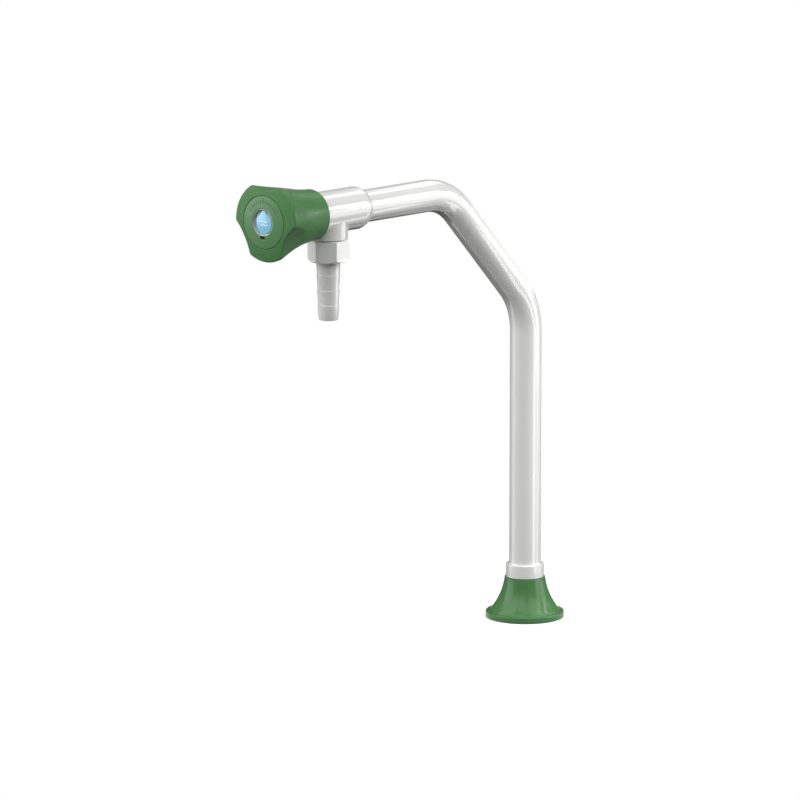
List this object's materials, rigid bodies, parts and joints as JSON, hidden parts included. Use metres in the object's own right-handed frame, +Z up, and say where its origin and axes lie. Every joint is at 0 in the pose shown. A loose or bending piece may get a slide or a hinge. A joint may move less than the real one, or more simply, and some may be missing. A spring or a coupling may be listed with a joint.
{
  "type": "laboratory gooseneck tap",
  "caption": "Bench-mounted laboratory water tap: a bent coated column on a flared foot, a valve with a lobed handwheel at the arm's end, and a barbed hose nozzle.",
  "frame": {"origin": "on the bench plane at the centre of the foot, at the mouth of the threaded bench socket", "axes": "+Z up along the column, the arm runs along -Y, +X to the right of someone facing the handwheel"},
  "size_m": [0.05, 0.2698, 0.3024],
  "materials": {
    "coated_white": "white epoxy powder coat, glossy, over brass",
    "coated_fitting": "pale grey-white epoxy coat, glossy, over brass",
    "handwheel_plastic": "green moulded plastic, semi-gloss",
    "disc_plastic": "green moulded plastic, satin",
    "bell_plastic": "green moulded plastic, semi-gloss",
    "holder_plastic": "grey plastic, satin",
    "drop_plastic": "light blue plastic",
    "rubber": "black sealing rubber",
    "brass": "machined brass",
    "ceramic": "lapped alumina ceramic",
    "steel": "stainless steel"
  },
  "bodies": {
    "tap": {"base_bell": "bell_plastic", "base_gasket": "rubber", "foot_plate": "steel", "foot_body": "coated_white", "neck_tube": "coated_white", "valve_body": "coated_white", "bonnet": "brass", "bonnet_gasket": "rubber", "seat_seal": "rubber", "fixed_disc": "ceramic", "union_nut": "coated_fitting", "nozzle_gasket": "rubber", "hose_nozzle": "coated_fitting"},
    "handwheel": {"moving_disc": "ceramic", "spindle": "brass", "spindle_orings": "rubber", "spindle_clip": "steel", "stop_ring": "brass", "handwheel": "handwheel_plastic", "drive_insert": "brass", "screw_washer": "steel", "handwheel_screw": "steel", "index_disc": "disc_plastic", "drop_holder": "holder_plastic", "drop_tag": "drop_plastic"}
  },
  "joints": [
    {"name": "handwheel_turn", "type": "hinge", "parent": "tap", "child": "handwheel", "pos_m": [0, -0.1862, 0.281], "axis": [0, -1, 0], "range_deg": [0, 180]}
  ]
}
